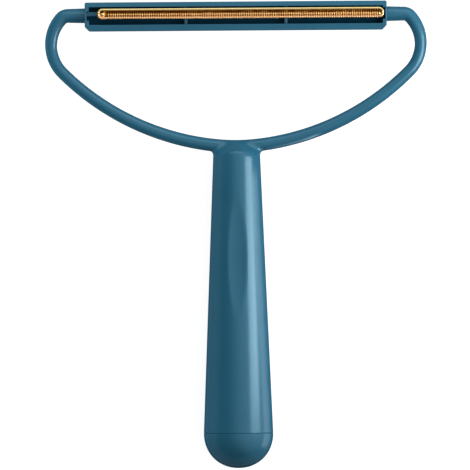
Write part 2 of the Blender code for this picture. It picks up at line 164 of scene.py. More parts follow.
# Fineness of the meshes
SKIN_CELL = 0.42 * MM
SKIN_SMOOTHINGS = 2
SKIN_SETTLES = 4
CROWN_SOFTENINGS = 60
GRADIENT_STEP = 0.01 * MM
LEAST_STEEPNESS = 0.25
BLANK_STEP = 3 * SKIN_CELL
BLANK_OVERRUN = 4 * SKIN_CELL
BLANK_SIDES = 96
BLANK_TUBE_STEPS = 6
TURNED_STEPS = 120
DOME_STEPS = 24
CORNER_STEPS = 4
HEAD_EDGE_STEPS = 3
SEAT_BAR_STEPS = 4
FLUTE_STEPS = 6
BLADE_END_STEPS = 24
LIP_STEPS = 8
RIDGE_STEPS = 6
WELD_DISTANCE = 0.002 * MM

# Angles above which an edge is sharp or is rounded, and cosine of a face seen square on
SHARP_ANGLE = math.radians(35)
BLADE_SHARP_ANGLE = math.radians(75)
ROUNDED_ANGLE = math.radians(40)
SQUARE_ON = 0.9

# Camera, from the photograph
IMAGE_SIDE = 470
MM_PER_PIXEL = 0.3723
AXIS_COLUMN = 237.2
ARM_ROW = 14.75
CAMERA_ROLL = math.radians(0.4)
CAMERA_DISTANCE = 8.0
SENSOR_WIDTH = 36.0

# Finish of the plastic
CLOUD_TONES = ((0.3, (0.014, 0.098, 0.162, 1.0)), (0.7, (0.017, 0.108, 0.180, 1.0)))
CLOUD_SCALE = 60.0
CLOUD_DETAIL = 3.0
GRAIN_SCALE = 3500.0
GRAIN_DETAIL = 2.0
GRAIN_STRENGTH = 0.08
GRAIN_HEIGHT = 0.05 * MM
PLASTIC_ROUGHNESS = 0.24
GLOSS_TINT = (0.55, 0.85, 1.0, 1.0)
# Recess floor: painted shade, a near-black teal base colour, with a matt roughness and less gloss
SHADE_AND_MATT_FACES = "recess_shade_and_matt"
RECESS_PAINTED_SHADE = (0.003, 0.038, 0.070, 1.0)
MATT_ROUGHNESS = 0.7
MATT_GLOSS = 0.1

# Slant of the plastic, 0 where it faces the viewer, and its level of gloss
GLOSS_BY_SLANT = ((0.20, 0.70), (0.32, 0.13), (0.46, 0.035), (0.72, 0.0))

# Finish of the copper
# Painted light: peach along the lower lip, lighter yellow along the top lip
COPPER_PAINTED_LIGHTER_ON_TOP = ((0.3, (0.93, 0.55, 0.27, 1.0)), (0.75, (0.87, 0.68, 0.31, 1.0)))
# Painted shade: brown copper below the first depth under the lips, fading out by the second
PAINTED_SHADE_COPPER = (0.36, 0.16, 0.02, 1.0)
FULL_SHADE_DEPTH = 0.75 * MM
SHADE_FREE_DEPTH = 0.38 * MM
STREAK_SCALE = 1800.0
STREAK_DETAIL = 3.0
LEAST_ROUGHNESS = 0.14
MOST_ROUGHNESS = 0.26

# Floor and studio
FLOOR_HALF_SIDE = 10.0
FLOOR_GREY = (0.35, 0.35, 0.35, 1.0)
FLOOR_LIFT = 0.86
WHITE = (1.0, 1.0, 1.0, 1.0)
BRIGHT_SIDE = Vector((0.71, 0.20, 0.675))
BRIGHT_LEVEL = 1.0
DIM_LEVEL = 0.1
DIM_FROM = 0.1
BRIGHT_FROM = 1.1

# Lamps in the tool's frame, in metres: name, place, aim, size, power and what each leaves out
LAMPS = (
    ("key", (0.203, -0.06, 0.1225), (0.0, -0.06, 0.0), (0.155, 0.149), 0.38, ()),
    ("top", (0.0, 0.28, 0.20), (0.0, 0.0, 0.0), (0.50, 0.30), 0.46, ()),
    ("side", (0.30, -0.08, 0.04), (0.0, -0.08, 0.0), (0.06, 0.30), 0.12, ()),
    ("card", (0.035, -0.116, -0.002), (0.0, -0.116, -0.002), (0.118, 0.020), 0.050,
     ("view", "colour")),
    ("left", (-0.30, -0.08, 0.06), (0.0, -0.08, 0.0), (0.30, 0.10), 0.50, ("gloss",)),
    ("above", (0.0, 0.33, 0.085), (0.0, -0.04, 0.0), (0.50, 0.12), 0.46, ("gloss",)),
)

head_top = HEAD_HEIGHT / 2 - HEAD_DROP
head_bottom = head_top - HEAD_HEIGHT
recess_top = head_top - TOP_RAIL
recess_bottom = head_bottom + BOTTOM_RAIL
recess_half_length = HEAD_LENGTH / 2 - END_WALL
blade_top = recess_top - BLADE_TOP_GAP
blade_bottom = recess_bottom + BLADE_BOTTOM_GAP
blade_axis = (blade_top + blade_bottom) / 2
blade_start = -recess_half_length + BLADE_FREE_END_GAP
blade_end = recess_half_length + BLADE_REACH
rail_face = HEAD_DEPTH / 2
web_face = WEB_THICKNESS / 2
bridge_face = rail_face - BRIDGE_DROP
blade_back = bridge_face + FIT_GAP
lip_face = rail_face + LIP_PROUD
blade_radius = (blade_top - blade_bottom) / 2
spine_start = blade_start + blade_radius
spine_end = blade_end - blade_radius
ridge_foot = blade_radius - RIDGE_WIDTH / 2
cleft_x = blade_start + CLEFT_GAP
arm_tip = HEAD_LENGTH / 2 + FIT_GAP
arm_end = HEAD_LENGTH / 2 - ARM_SEAT

mount = frame["record"]["mounts"][0]
along = Vector(mount["axis"]).normalized()
across = Vector((1.0, 0.0, 0.0))
facing = across.cross(along)
tool_origin = Vector(mount["pos_m"]) - along * head_top
tool = Matrix((across, along, facing)).transposed().to_4x4()
tool.translation = tool_origin


def add_camera():
    """Telephoto camera square on to the front face."""
    side = IMAGE_SIDE * MM_PER_PIXEL * MM
    middle = IMAGE_SIDE / 2
    aim = Vector(((middle - AXIS_COLUMN) * MM_PER_PIXEL * MM,
                  (ARM_ROW - middle) * MM_PER_PIXEL * MM, 0.0))
    data = bpy.data.cameras.new("camera")
    data.sensor_width = SENSOR_WIDTH
    data.lens = SENSOR_WIDTH * CAMERA_DISTANCE / side
    data.clip_end = 3 * CAMERA_DISTANCE
    camera = bpy.data.objects.new("camera", data)
    bpy.context.scene.collection.objects.link(camera)
    stand = Matrix.Translation(aim + Vector((0.0, 0.0, CAMERA_DISTANCE)))
    camera.matrix_world = tool @ stand @ Matrix.Rotation(-CAMERA_ROLL, 4, "Z")
    bpy.context.scene.camera = camera


def finish_piece(name, shape, material, body, nodes, sharp=SHARP_ANGLE):
    """Lay a modelled shape down with the tool, give it its finish and body, and hide the imported
    nodes it replaces.
    """
    mesh = bpy.data.meshes.new(name)
    shape.to_mesh(mesh)
    shape.free()
    mesh.shade_smooth()
    mesh.set_sharp_from_angle(angle=sharp)
    mesh.transform(tool)
    mesh.materials.append(material)
    piece = bpy.data.objects.new(name, mesh)
    bpy.context.scene.collection.objects.link(piece)
    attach(piece, body)
    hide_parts(*nodes)
    return piece


# Yoke and handle, as distances from their surfaces

def sweep_radius():
    """Radius of the long sweep that lets the arm meet its twin above the handle."""
    turned = CORNER_TURN + SHOULDER_TURN
    reach = arm_tip + ARM_STRAIGHT + CORNER_RADIUS * math.sin(CORNER_TURN)
    reach += SHOULDER_RADIUS * (math.sin(turned) - math.sin(CORNER_TURN))
    return reach / (math.sin(turned) - (1 - CROWN_TIGHTNESS) * math.sin(CROWN_TURN))


def arm_arcs():
    """Arcs of the right arm's centreline: centre, radius, start angle, turn, distance run."""
    sweep = sweep_radius()
    sweep_turn = math.pi - CORNER_TURN - SHOULDER_TURN - CROWN_TURN
    stretches = ((CORNER_RADIUS, CORNER_TURN), (SHOULDER_RADIUS, SHOULDER_TURN),
                 (sweep, sweep_turn), (CROWN_TIGHTNESS * sweep, CROWN_TURN))
    point, heading, run = Vector((arm_tip + ARM_STRAIGHT, 0.0)), 0.0, ARM_STRAIGHT
    arcs = []
    for radius, turn in stretches:
        centre = point + radius * Vector((math.sin(heading), -math.cos(heading)))
        start = heading + math.pi / 2
        arcs.append((centre, radius, start, turn, run))
        heading -= turn
        run += radius * turn
        point = centre + radius * Vector((math.cos(start - turn), math.sin(start - turn)))
    return arcs, point.y, run


arcs, crown_y, arm_length = arm_arcs()
handle_top = crown_y - HANDLE_TOP_DROP
neck_y = handle_top - HANDLE_TOP_ROUND
butt_y = handle_top - HANDLE_LENGTH


def arm_radius(run):
    """Thick at the tip, thinnest on the side, and a little thicker again at the crown."""
    narrowest = ARM_NARROWEST_AT * arm_length
    stations = (0.0, narrowest, arm_length)
    return np.interp(run, stations, (ARM_TIP_RADIUS, ARM_SIDE_RADIUS, ARM_CROWN_RADIUS))


def cone_radius(y):
    """Outer radius of the handle, along its straight taper."""
    return NECK_RADIUS + (BUTT_RADIUS - NECK_RADIUS) * (neck_y - y) / (neck_y - butt_y)


def yoke_gap(x, y, z):
    """Distance from the surface of the round yoke, negative inside."""
    x = np.abs(x)
    run = np.clip(x - arm_tip, -CORNER_RADIUS, ARM_STRAIGHT)
    gap = np.sqrt((x - arm_tip - run) ** 2 + y ** 2 + z ** 2) - arm_radius(run)
    for centre, radius, start, turn, run in arcs:
        angle = start - np.arctan2(y - centre.y, x - centre.x)
        angle = np.clip(np.mod(angle + math.pi, math.tau) - math.pi, 0.0, turn)
        aside = x - centre.x - radius * np.cos(start - angle)
        above = y - centre.y - radius * np.sin(start - angle)
        reach = np.sqrt(aside ** 2 + above ** 2 + z ** 2)
        gap = np.minimum(gap, reach - arm_radius(run + radius * angle))
    return gap


def meet_round(first, second, radius):
    """Overlap of two bodies, with the edge between them rounded."""
    corner = np.hypot(np.maximum(first + radius, 0.0), np.maximum(second + radius, 0.0))
    return np.minimum(np.maximum(first, second), -radius) + corner


def join_round(first, second, radius):
    """Both bodies, with the corner between them filled to a radius."""
    return -meet_round(-first, -second, radius)


def handle_gap(x, y, z):
    """Distance from the tapered handle with its rounded top, negative inside."""
    side = np.hypot(x, z) - cone_radius(y)
    round_off = HANDLE_FACE_ROUND - HANDLE_TOP_ROUND
    round_off *= np.clip(1 - (x / NECK_RADIUS) ** 2, 0.0, 1.0)
    return meet_round(side, y - handle_top, HANDLE_TOP_ROUND + round_off)


def crown_gap(x, y, z):
    """Distance from the cone by which the handle's top runs out into the yoke."""
    tip = crown_y + CROWN_TIP_RISE
    spread = (CROWN_FOOT_RADIUS - CROWN_TIP_RADIUS) / (tip - handle_top)
    side = np.hypot(x, z) - CROWN_TIP_RADIUS - (tip - y) * spread
    side /= math.hypot(1.0, spread)
    below = handle_top - CROWN_FOOT_DEPTH - y
    return meet_round(np.maximum(side, below), y - tip, CROWN_TIP_RADIUS)


def scoop_gap(x, y, z):
    """Distance above the floor of the thumb scoops, one on each face."""
    middle = handle_top - SCOOP_DROP
    bend = 8 * SCOOP_DEPTH / SCOOP_LENGTH ** 2
    floor = cone_radius(y) - SCOOP_DEPTH + (y - middle) ** 2 * bend / 2
    return np.abs(z) - floor - x ** 2 * SCOOP_HOLLOW / 2


def skin_gap(points):
    """Distance from the outer skin of the whole moulding."""
    x, y, z = points.T
    body = join_round(yoke_gap(x, y, z), handle_gap(x, y, z), CROTCH_RADIUS)
    blend = np.clip(1 - (x / CROWN_FOOT_RADIUS) ** 2, LEAST_BLEND_SHARE, 1.0)
    blend *= np.clip(np.abs(z) / ARM_CROWN_RADIUS, LEAST_BLEND_SHARE, 1.0)
    body = join_round(body, crown_gap(x, y, z), CROWN_BLEND * blend)
    return meet_round(body, scoop_gap(x, y, z), SCOOP_EDGE)


def settle_on_skin(shape):
    """Move every vertex on to the outer skin of the moulding."""
    points = np.array([vertex.co for vertex in shape.verts])
    steps = np.eye(3) * GRADIENT_STEP
    for _ in range(SKIN_SETTLES):
        gap = skin_gap(points)
        rise = [(skin_gap(points + step) - skin_gap(points - step)) for step in steps]
        slope = np.stack(rise, axis=1) / (2 * GRADIENT_STEP)
        steepness = np.maximum((slope ** 2).sum(axis=1), LEAST_STEEPNESS)
        points -= slope * (gap / steepness)[:, None]
    for vertex, point in zip(shape.verts, points):
        vertex.co = point


def smooth(shape, verts):
    """Draw some vertices half way to the middle of their neighbours."""
    bmesh.ops.smooth_vert(shape, verts=verts, factor=0.5,
                          use_axis_x=True, use_axis_y=True, use_axis_z=True)


def soften_crown(shape):
    """Let the handle's top run out into the yoke without an edge, on both faces."""
    for step in range(CROWN_SOFTENINGS):
        size = 1 - step / (2 * CROWN_SOFTENINGS)
        near = []
        for vertex in shape.verts:
            aside = vertex.co.x / (CROWN_SOFT_WIDTH * size)
            above = (vertex.co.y - handle_top) / (CROWN_SOFT_HEIGHT * size)
            if abs(vertex.co.z) > ARM_CROWN_RADIUS / 2 and math.hypot(aside, above) < 1:
                near.append(vertex)
        smooth(shape, near)


def draw_out(shape, faces, way):
    """Extrude a group of faces by a vector and return the moved faces."""
    edges = list(dict.fromkeys(edge for face in faces for edge in face.edges))
    drawn = bmesh.ops.extrude_face_region(shape, geom=faces + edges)["geom"]
    moved = [item for item in drawn if isinstance(item, bmesh.types.BMVert)]
    bmesh.ops.translate(shape, verts=moved, vec=way)
    shape.normal_update()
    return [item for item in drawn if isinstance(item, bmesh.types.BMFace)]


# Handle frame

def yoke_blank():
    """Tube along both arms, as the start of the moulding's skin."""
    curve = bpy.data.curves.new("yoke_blank", "CURVE")
    curve.dimensions = "3D"
    curve.bevel_depth = 1.0
    curve.bevel_resolution = BLANK_TUBE_STEPS
    curve.use_fill_caps = True
    right = [(arm_tip - CORNER_RADIUS, 0.0, 0.0), (arm_tip + ARM_STRAIGHT, 0.0, ARM_STRAIGHT)]
    for centre, radius, start, turn, run in arcs:
        count = max(2, round(turn * radius / BLANK_STEP))
        for i in range(1, count + 1):
            angle = turn * i / count
            right.append((centre.x + radius * math.cos(start - angle),
                          centre.y + radius * math.sin(start - angle), run + radius * angle))
    path = [(-x, y, run) for x, y, run in right[:-1]] + right[::-1]
    spline = curve.splines.new("POLY")
    spline.points.add(len(path) - 1)
    for point, (x, y, run) in zip(spline.points, path):
        point.co = (x, y, 0.0, 1.0)
        point.radius = float(arm_radius(run))
    return bpy.data.objects.new("yoke_blank", curve)


def handle_blank():
    """Cone from the crown to a little beyond the seam, with the crown's short cone on it."""
    shape = bmesh.new()
    length = handle_top - butt_y + BLANK_OVERRUN
    rise = crown_y + CROWN_TIP_RISE - handle_top
    upright = Matrix.Translation((0, 0, handle_top - length / 2))
    bmesh.ops.create_cone(shape, cap_ends=True, segments=BLANK_SIDES, depth=length,
                          matrix=upright, radius1=cone_radius(butt_y - BLANK_OVERRUN),
                          radius2=cone_radius(handle_top))
    upright = Matrix.Translation((0, 0, handle_top + rise / 2))
    bmesh.ops.create_cone(shape, cap_ends=True, segments=BLANK_SIDES, depth=rise,
                          matrix=upright, radius1=CROWN_FOOT_RADIUS, radius2=CROWN_TIP_RADIUS)
    bmesh.ops.rotate(shape, verts=shape.verts, matrix=Matrix.Rotation(-math.pi / 2, 3, "X"))
    return shape


def even_skin():
    """One even, closed mesh round the yoke and the handle together."""
    yoke = yoke_blank()
    bpy.context.scene.collection.objects.link(yoke)
    bpy.context.view_layer.update()
    evaluated = yoke.evaluated_get(bpy.context.evaluated_depsgraph_get())
    tube = bpy.data.meshes.new_from_object(evaluated)
    bpy.data.objects.remove(yoke)
    shape = handle_blank()
    shape.from_mesh(tube)
    bmesh.ops.remove_doubles(shape, verts=shape.verts, dist=WELD_DISTANCE)
    blank = bpy.data.meshes.new("frame_blank")
    shape.to_mesh(blank)
    shape.free()
    holder = bpy.data.objects.new("frame_blank", blank)
    bpy.context.scene.collection.objects.link(holder)
    remesh = holder.modifiers.new("even_cells", "REMESH")
    remesh.mode = "VOXEL"
    remesh.voxel_size = SKIN_CELL
    bpy.context.view_layer.update()
    evaluated = holder.evaluated_get(bpy.context.evaluated_depsgraph_get())
    even = bpy.data.meshes.new_from_object(evaluated)
    bpy.data.objects.remove(holder)
    shape = bmesh.new()
    shape.from_mesh(even)
    for _ in range(SKIN_SMOOTHINGS):
        smooth(shape, shape.verts)
    return shape


def cut_off(shape, faces, point, outward):
    """Cut some of a shape's faces square at a point and return the edges of the cut."""
    edges = list(dict.fromkeys(edge for face in faces for edge in face.edges))
    verts = list(dict.fromkeys(vertex for face in faces for vertex in face.verts))
    cut = bmesh.ops.bisect_plane(shape, geom=verts + edges + faces, dist=WELD_DISTANCE,
                                 plane_co=point, plane_no=outward, clear_outer=True)
    return [item for item in cut["geom_cut"] if isinstance(item, bmesh.types.BMEdge)]


def next_ring(shape, edges, radius, level):
    """Draw a round opening's edge out to another radius and level."""
    drawn = bmesh.ops.extrude_edge_only(shape, edges=edges)["geom"]
    for vertex in drawn:
        if isinstance(vertex, bmesh.types.BMVert):
            share = radius / math.hypot(vertex.co.x, vertex.co.z)
            vertex.co = (vertex.co.x * share, level, vertex.co.z * share)
    return [item for item in drawn if isinstance(item, bmesh.types.BMEdge)]


def add_handle_frame(plastic):
    """Handle and yoke in one moulding, hollow from the seam upwards."""
    shape = even_skin()
    settle_on_skin(shape)
    soften_crown(shape)
    for side in (-1.0, 1.0):
        tip = [face for face in shape.faces if abs(face.calc_center_median().y) < HEAD_HEIGHT / 2
               and side * face.calc_center_median().x > 0]
        end = cut_off(shape, tip, (side * arm_end, 0.0, 0.0), (-side, 0.0, 0.0))
        bmesh.ops.holes_fill(shape, edges=end, sides=0)
    rim = cut_off(shape, shape.faces[:], (0.0, butt_y + SEAM_EDGE, 0.0), (0.0, -1.0, 0.0))
    bore = BUTT_RADIUS - HANDLE_WALL
    bore_end = handle_top - BORE_TOP_WALL
    rings = ((BUTT_RADIUS - SEAM_EDGE, butt_y), (bore, butt_y),
             (bore, butt_y + SPIGOT_LENGTH + FIT_GAP),
             (cone_radius(bore_end) - HANDLE_WALL, bore_end))
    for radius, level in rings:
        rim = next_ring(shape, rim, radius, level)
    bmesh.ops.holes_fill(shape, edges=rim, sides=0)
    bmesh.ops.recalc_face_normals(shape, faces=shape.faces)
    finish_piece("moulded_frame", shape, plastic, "tool", ["handle_frame"])


# End cap

def turned(profile):
    """Spin a profile of (radius, level) points about the handle's axis."""
    shape = bmesh.new()
    verts = [shape.verts.new((radius, level, 0.0)) for radius, level in profile]
    edges = [shape.edges.new(pair) for pair in zip(verts, verts[1:])]
    bmesh.ops.spin(shape, geom=verts + edges, cent=(0.0, 0.0, 0.0), axis=(0.0, 1.0, 0.0),
                   dvec=(0.0, 0.0, 0.0), angle=math.tau, steps=TURNED_STEPS, use_merge=True)
    bmesh.ops.remove_doubles(shape, verts=shape.verts, dist=WELD_DISTANCE)
    bmesh.ops.recalc_face_normals(shape, faces=shape.faces)
    return shape


def dome(radius, height, base, open_to):
    """A slightly full quarter ellipse below a base level, from a radius to the pole."""
    power = 2 / DOME_FULLNESS
    start = math.acos((open_to / radius) ** (1 / power))
    points = []
    for i in range(DOME_STEPS):
        angle = start + (math.pi / 2 - start) * i / DOME_STEPS
        points.append((radius * math.cos(angle) ** power, base - height * math.sin(angle) ** power))
    return points + [(0.0, base - height)]


def add_end_cap(plastic):
    """Hollow domed cap with a ribbed spigot."""
    spigot = BUTT_RADIUS - HANDLE_WALL - FIT_GAP
    inner = spigot - SPIGOT_WALL
    seam = butt_y - SEAT_GAP
    top = butt_y + SPIGOT_LENGTH - FIT_GAP
    outside = dome(BUTT_RADIUS, DOME_HEIGHT, seam, BUTT_RADIUS)
    inside = dome(BUTT_RADIUS - HANDLE_WALL, DOME_HEIGHT - HANDLE_WALL, seam, inner)
    wall = [(inner, top), (spigot - SPIGOT_CHAMFER, top), (spigot, top - SPIGOT_CHAMFER),
            (spigot, seam), (BUTT_RADIUS - SEAM_EDGE, seam), (BUTT_RADIUS, seam - SEAM_EDGE)]
    shape = turned(inside[::-1] + wall + outside[1:])
    for i in range(PRESS_RIB_COUNT):
        around = math.tau * i / PRESS_RIB_COUNT
        outward = Vector((math.cos(around), 0.0, math.sin(around)))
        rib = [face for face in shape.faces if seam < face.calc_center_median().y < top
               and face.normal.dot(outward) > math.cos(math.tau / TURNED_STEPS)]
        draw_out(shape, rib, outward * PRESS_RIB_RISE)
    finish_piece("domed_cap", shape, plastic, "cap", ["end_cap"])


# Head

def faces_within(shape, low, high, facing_z):
    """Faces that look along Z and whose middle lies between two corners of a rectangle."""
    found = []
    for face in shape.faces:
        middle = face.calc_center_median()
        inside = low[0] < middle.x < high[0] and low[1] < middle.y < high[1]
        if inside and face.normal.z * facing_z > SQUARE_ON:
            found.append(face)
    return found


def bevel_edges(shape, edges, width, segments):
    """Cut off or round some edges of a shape."""
    bmesh.ops.bevel(shape, geom=edges, offset=width, segments=segments, profile=0.5,
                    affect="EDGES", offset_type="OFFSET", material=-1)


def head_block():
    """Plain bar with chamfered lower corners and rounded upper corners."""
    shape = bmesh.new()
    bmesh.ops.create_cube(shape, size=1.0)
    bmesh.ops.scale(shape, vec=(HEAD_LENGTH, HEAD_HEIGHT, HEAD_DEPTH), verts=shape.verts)
    cuts = ((-1, LOWER_CORNER_CHAMFER, 1), (1, UPPER_CORNER_ROUND, CORNER_STEPS))
    for side, width, segments in cuts:
        corners = []
        for edge in shape.edges:
            first, second = edge.verts[0].co, edge.verts[1].co
            runs_through = abs(first.z - second.z) > HEAD_DEPTH / 2
            if runs_through and side * first.y > HEAD_HEIGHT / 4:
                corners.append(edge)
        bevel_edges(shape, corners, width, segments)
    bmesh.ops.translate(shape, verts=shape.verts, vec=(0.0, head_top - HEAD_HEIGHT / 2, 0.0))
    return shape


def add_head(plastic):
    """Bar with a bridged recess in each face and a notch at each end of it."""
    shape = head_block()
    notch_end = recess_half_length + NOTCH_DEPTH
    slot_top = blade_axis + SEAT_BAR_WIDTH / 2 + SEAT_GAP
    slot_bottom = blade_axis - SEAT_BAR_WIDTH / 2 - SEAT_GAP
    notch_bottom = blade_axis - NOTCH_FALL
    notch_top = blade_axis + NOTCH_RISE
    bridge_inner = (BRIDGE_SPACING - BRIDGE_WIDTH) / 2
    bridge_outer = (BRIDGE_SPACING + BRIDGE_WIDTH) / 2
    columns = (notch_end, recess_half_length, bridge_outer, bridge_inner)
    for level in (recess_top, recess_bottom, notch_top, slot_top, slot_bottom, notch_bottom):
        slice_through(shape, (0.0, level, 0.0), (0.0, 1.0, 0.0))
    for column in columns:
        slice_through(shape, (column, 0.0, 0.0), (1.0, 0.0, 0.0))
        slice_through(shape, (-column, 0.0, 0.0), (1.0, 0.0, 0.0))
    for vertex in shape.verts:
        above = max(vertex.co.y - recess_top, 0.0) * TOP_RAIL_DRAFT
        below = max(recess_bottom - vertex.co.y, 0.0) * BOTTOM_RAIL_DRAFT
        vertex.co.z -= math.copysign(above + below, vertex.co.z)
    end = recess_half_length
    for facing_z in (1, -1):
        plan = faces_within(shape, (-end, recess_bottom), (end, recess_top), facing_z)
        for side, top in ((facing_z, notch_top), (-facing_z, slot_top)):
            low, high = sorted((side * end, side * notch_end))
            plan += faces_within(shape, (low, notch_bottom), (high, top), facing_z)
        floor = draw_out(shape, plan, (0.0, 0.0, -facing_z * BRIDGE_DROP))
        deep = []
        for face in floor:
            middle = face.calc_center_median()
            on_bridge = bridge_inner < abs(middle.x) < bridge_outer
            in_slot = slot_bottom < middle.y < slot_top
            if in_slot or not on_bridge:
                deep.append(face)
        draw_out(shape, deep, (0.0, 0.0, -facing_z * (bridge_face - web_face)))
    bmesh.ops.recalc_face_normals(shape, faces=shape.faces)
    # Web floor faces are marked for the painted shade and the matt finish of the material
    shade_and_matt = shape.faces.layers.float.new(SHADE_AND_MATT_FACES)
    for face in shape.faces:
        on_web = abs(face.calc_center_median().z) < web_face + SEAT_GAP
        face[shade_and_matt] = 1.0 if on_web and abs(face.normal.z) > SQUARE_ON else 0.0
    head = finish_piece("slotted_head", shape, plastic, "tool",
                        ["head_housing"])
    soften(head, HEAD_EDGE_ROUND, HEAD_EDGE_STEPS)


def slice_through(shape, point, normal):
    """Add a cut right through a shape, with nothing taken away."""
    everything = shape.verts[:] + shape.edges[:] + shape.faces[:]
    bmesh.ops.bisect_plane(shape, geom=everything, dist=WELD_DISTANCE, plane_co=point,
                           plane_no=normal)


def soften(piece, width, segments):
    """Round the square edges of a piece."""
    bevel = piece.modifiers.new("soft_edges", "BEVEL")
    bevel.width = width
    bevel.segments = segments
    bevel.limit_method = "ANGLE"
    bevel.angle_limit = ROUNDED_ANGLE
    bevel.harden_normals = True


def add_seat_bar(face, turn, plastic):
    """Bar on the recess floor, its ends in the two notches."""
    shape = bmesh.new()
    bmesh.ops.create_cube(shape, size=1.0)
    length = 2 * (recess_half_length + NOTCH_DEPTH - SEAT_GAP)
    height = bridge_face - web_face - SEAT_GAP
    bmesh.ops.scale(shape, vec=(length, SEAT_BAR_WIDTH, height), verts=shape.verts)
    long_edges = [edge for edge in shape.edges
                  if abs(edge.verts[0].co.x - edge.verts[1].co.x) > length / 2
                  and edge.verts[0].co.z > 0]
    bevel_edges(shape, long_edges, SEAT_BAR_EDGE, SEAT_BAR_STEPS)
    middle = (0.0, blade_axis, bridge_face - height / 2)
    bmesh.ops.translate(shape, verts=shape.verts, vec=middle)
    bmesh.ops.rotate(shape, verts=shape.verts, matrix=Matrix.Rotation(turn, 3, "Y"))
    finish_piece(f"seat_{face}", shape, plastic, "tool", [f"seat_bar_{face}"])


# Copper blades

def smooth_share(value, start, end):
    """0 before the start, 1 after the end, and an even curve between them."""
    share = min(max((value - start) / (end - start), 0.0), 1.0)
    return share * share * (3 - 2 * share)


def blade_contours():
    """Contours of the formed sheet from its foot in to the ridge's crest: (inset, height)."""
    contours = [(0.0, blade_back)]
    for i in range(LIP_STEPS + 1):
        angle = math.pi * i / LIP_STEPS
        inset = LIP_WIDTH / 2 * (1 - math.cos(angle))
        contours.append((inset, lip_face - LIP_RISE * (1 - math.sin(angle))))
    for share, rise in VALLEY_RISES:
        inset = LIP_WIDTH + (ridge_foot - LIP_WIDTH) * share
        contours.append((inset, lip_face - VALLEY_DEPTH + rise))
    crest = lip_face - RIDGE_STEP
    for i in range(RIDGE_STEPS + 1):
        short_of_crest = 1 - i / RIDGE_STEPS
        inset = blade_radius - RIDGE_WIDTH / 2 * short_of_crest
        contours.append((inset, crest - RIDGE_RISE * short_of_crest ** RIDGE_ROUNDNESS))
    return contours


def draw_contour(shape, edges, inset, height):
    """Extrude a blade contour's edges to another inset from the outline, and to a height."""
    drawn = bmesh.ops.extrude_edge_only(shape, edges=edges)["geom"]
    for vertex in drawn:
        if isinstance(vertex, bmesh.types.BMVert):
            near = min(max(vertex.co.x, spine_start), spine_end)
            away = Vector((vertex.co.x - near, vertex.co.y - blade_axis)).normalized()
            away *= blade_radius - inset
            vertex.co = (near + away.x, blade_axis + away.y, height)
    return [item for item in drawn if isinstance(item, bmesh.types.BMEdge)]


def slow_beat(along, beats):
    """Uneven wave along the blade, between -1 and 1."""
    return math.sin(along / beats[0]) * math.sin(along / beats[1])


def press_flutes(vertex, inset, lower):
    """Press the flutes into the ridge and the lower lip, and draw spurs up beside the ridge."""
    along_ridge = vertex.co.x - cleft_x - CLEFT_WIDTH / 2
    if not 0 < along_ridge < spine_end - cleft_x or vertex.co.z <= blade_back:
        return
    wave = (0.5 - 0.5 * math.cos(math.tau * along_ridge / FLUTE_PITCH)) ** FLUTE_NARROWNESS
    if not lower and LIP_WIDTH < inset < ridge_foot:
        spur = slow_beat(along_ridge, SPUR_BEATS) * smooth_share(inset, LIP_WIDTH, ridge_foot)
        spur *= smooth_share(vertex.co.x, -spine_end / 2, spine_end / 2)
        vertex.co.z += SPUR_RISE * max(spur, 0.0) * (1 - wave) ** 2
        vertex.co.z = min(vertex.co.z, lip_face - RIDGE_STEP)
    wave *= 1 + UNEVENNESS * slow_beat(along_ridge, UNEVEN_BEATS)
    on_ridge = smooth_share(inset, ridge_foot - RIDGE_WIDTH / 4, ridge_foot)
    on_lip = (1 - smooth_share(inset, 0.0, LIP_WIDTH)) if lower else 0.0
    vertex.co.z -= wave * (FLUTE_DEPTH * on_ridge + LIP_FLUTE_DEPTH * on_lip)
    vertex.co.y += wave * LIP_FLUTE_DEPTH * on_lip


def form_sheet(vertex):
    """Move a vertex of the sheet for the flutes, cleft, low ridge, tent and pinched ends."""
    near = min(max(vertex.co.x, spine_start), spine_end)
    inset = blade_radius - math.hypot(vertex.co.x - near, vertex.co.y - blade_axis)
    lower = vertex.co.y < blade_axis
    if lower and inset > LIP_WIDTH / 2:
        vertex.co.z = max(vertex.co.z, lip_face - LOWER_VALLEY_DEPTH)
    press_flutes(vertex, inset, lower)
    if inset > ridge_foot:
        off = (vertex.co.x - cleft_x) / CLEFT_WIDTH
        vertex.co.z -= CLEFT_DEPTH * math.exp(-off * off)
    vertex.co.y -= RIDGE_DROP * smooth_share(inset, LIP_WIDTH, ridge_foot)
    tent = math.hypot((vertex.co.x - blade_start - TENT_GAP) / TENT_HALF_WIDTH,
                      (vertex.co.y - blade_axis + TENT_DROP) / TENT_HALF_HEIGHT)
    if tent < 1 and inset > LIP_WIDTH / 2:
        vertex.co.z = max(vertex.co.z, lip_face - RIDGE_STEP - TENT_RISE * tent)
    if inset < LIP_WIDTH and vertex.co.x != near:
        off = (vertex.co.y - blade_axis) / (LIP_WIDTH / 2)
        inwards = 1 if vertex.co.x < near else -1
        vertex.co.x += inwards * END_PINCH * math.exp(-off * off)


